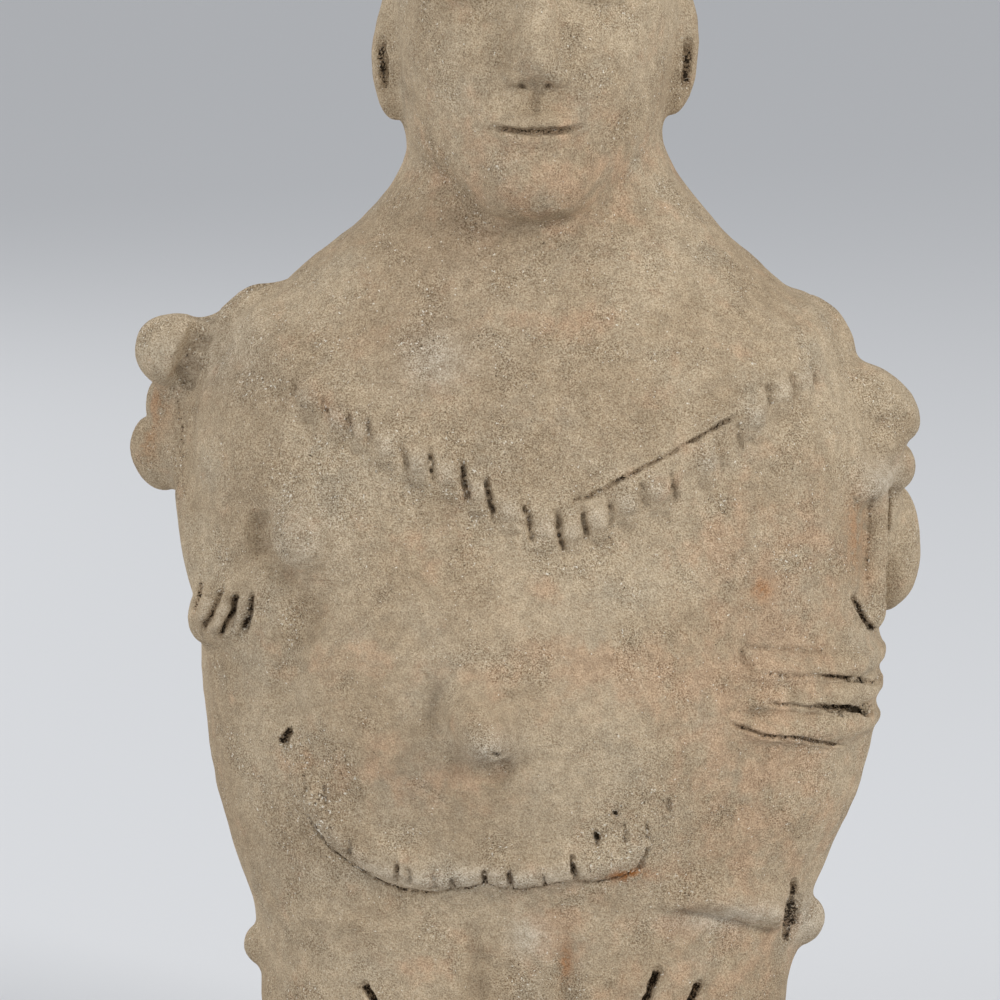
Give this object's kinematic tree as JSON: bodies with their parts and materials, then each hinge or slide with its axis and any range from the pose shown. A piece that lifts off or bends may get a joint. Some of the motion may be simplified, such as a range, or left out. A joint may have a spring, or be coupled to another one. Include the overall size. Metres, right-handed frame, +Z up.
{
  "type": "janiform funerary figure",
  "caption": "Standing half-length clay figure with a face on each side of the head, notched necklace and belt, navel boss and laid-on arms, on a flat foot.",
  "frame": {"origin": "middle of the flat underside", "axes": "+Z up along the figure, -Y towards the front of the figure, +X to the right as seen from the front"},
  "size_m": [0.1653, 0.1182, 0.295],
  "materials": {
    "clay": "matte, coarse fired clay with grey patina and pinkish patches"
  },
  "bodies": {
    "root": {"figure": "clay"}
  },
  "joints": []
}
